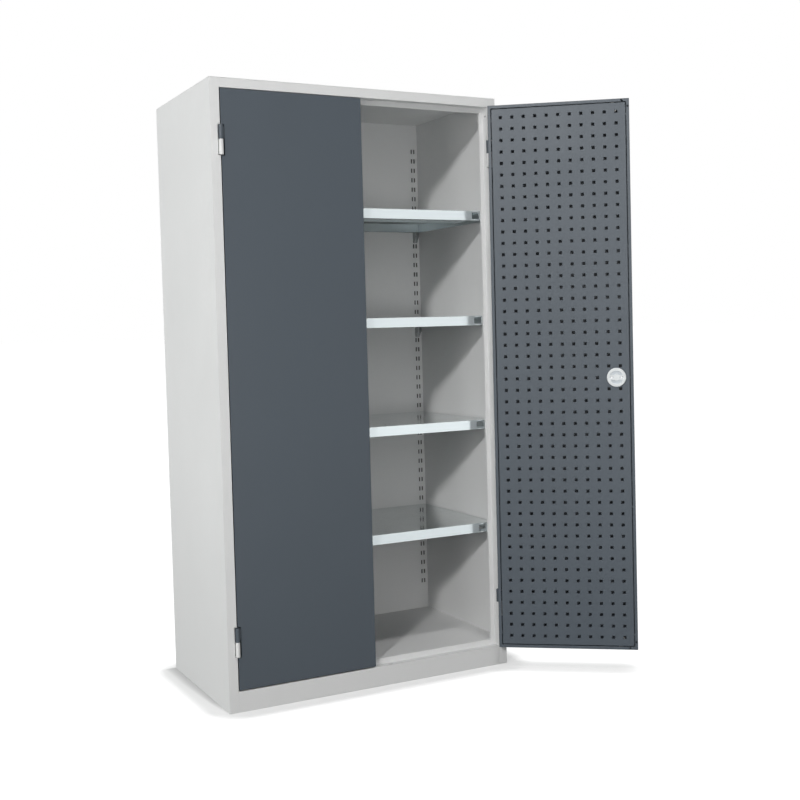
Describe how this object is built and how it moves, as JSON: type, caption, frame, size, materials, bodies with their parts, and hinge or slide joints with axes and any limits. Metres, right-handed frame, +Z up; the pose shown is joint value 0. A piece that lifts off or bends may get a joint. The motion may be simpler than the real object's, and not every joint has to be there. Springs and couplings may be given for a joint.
{
  "type": "tool cabinet with doors",
  "caption": "Tall sheet-steel tool cabinet with two hinged doors, perforated tool panels on their inner faces, clip-in shelves and a rod lock, shown with the right door open.",
  "frame": {"origin": "on the floor under the centre of the cabinet body, on the underside plane of the base frame", "axes": "+Z up, the doors face -Y, +X to the right of somebody standing in front"},
  "size_m": [1.3526, 0.8827, 1.93],
  "materials": {
    "body_paint": "light grey powder coat, fine texture",
    "door_paint": "blue-grey powder coat, fine texture",
    "zinc_sheet": "zinc-coated sheet",
    "bright_steel": "bright zinc-plated steel",
    "light_plastic": "light grey plastic, satin",
    "dark_plastic": "black plastic, satin",
    "nickel": "nickel-plated"
  },
  "bodies": {
    "cabinet_body": {"side_left": "body_paint", "side_right": "body_paint", "back_panel": "body_paint", "roof_panel": "body_paint", "header_rail": "body_paint", "floor_panel": "body_paint", "plinth_front": "body_paint", "base_frame": "body_paint", "upright_left": "body_paint", "upright_right": "body_paint", "shelf_1": "zinc_sheet", "shelf_2": "zinc_sheet", "shelf_3": "zinc_sheet", "shelf_4": "zinc_sheet", "shelf_1_clips": "zinc_sheet", "shelf_2_clips": "zinc_sheet", "shelf_3_clips": "zinc_sheet", "shelf_4_clips": "zinc_sheet", "post_hinges_left": "body_paint", "post_hinges_right": "body_paint", "hinge_pins": "bright_steel"},
    "left_door": {"left_door_skin": "door_paint", "left_door_panel": "door_paint", "left_door_hinges": "door_paint", "left_door_strip": "body_paint"},
    "right_door": {"right_door_skin": "door_paint", "right_door_panel": "door_paint", "right_door_hinges": "door_paint", "lock_case": "door_paint", "lock_rosette": "light_plastic", "rosette_screws": "bright_steel", "rod_guides": "bright_steel", "outer_rosette": "dark_plastic"},
    "handle": {"handle_grip": "dark_plastic", "handle_spindle": "bright_steel", "lock_cam": "bright_steel"},
    "plug": {"lock_plug": "nickel"},
    "upper_rod_body": {"upper_rod": "bright_steel"},
    "lower_rod_body": {"lower_rod": "bright_steel"}
  },
  "joints": [
    {"name": "left_door_hinge", "type": "hinge", "parent": "cabinet_body", "child": "left_door", "pos_m": [-0.4695, -0.289, 0.983], "axis": [0, 0, -1], "range_deg": [0, 180]},
    {"name": "right_door_hinge", "type": "hinge", "parent": "cabinet_body", "child": "right_door", "pos_m": [0.4695, -0.289, 0.983], "axis": [0, 0, 1], "range_deg": [-142.5, 37.5]},
    {"name": "handle_turn", "type": "hinge", "parent": "right_door", "child": "handle", "pos_m": [0.79636, -0.53981, 0.983], "axis": [0.6088, 0.7934, 0], "range_deg": [0, 90]},
    {"name": "plug_turn", "type": "hinge", "parent": "handle", "child": "plug", "pos_m": [0.79636, -0.53981, 0.983], "axis": [0.6088, 0.7934, 0], "range_deg": [0, 90]},
    {"name": "upper_rod_slide", "type": "slide", "parent": "right_door", "child": "upper_rod_body", "axis": [0, 0, 1], "range_m": [0, 0.01885]},
    {"name": "lower_rod_slide", "type": "slide", "parent": "right_door", "child": "lower_rod_body", "axis": [0, 0, -1], "range_m": [0, 0.01886]}
  ],
  "couplings": [
    {"joint": "handle_turn", "follows": "upper_rod_slide", "rad_per_m": 83.333},
    {"joint": "lower_rod_slide", "follows": "upper_rod_slide", "ratio": 1}
  ]
}
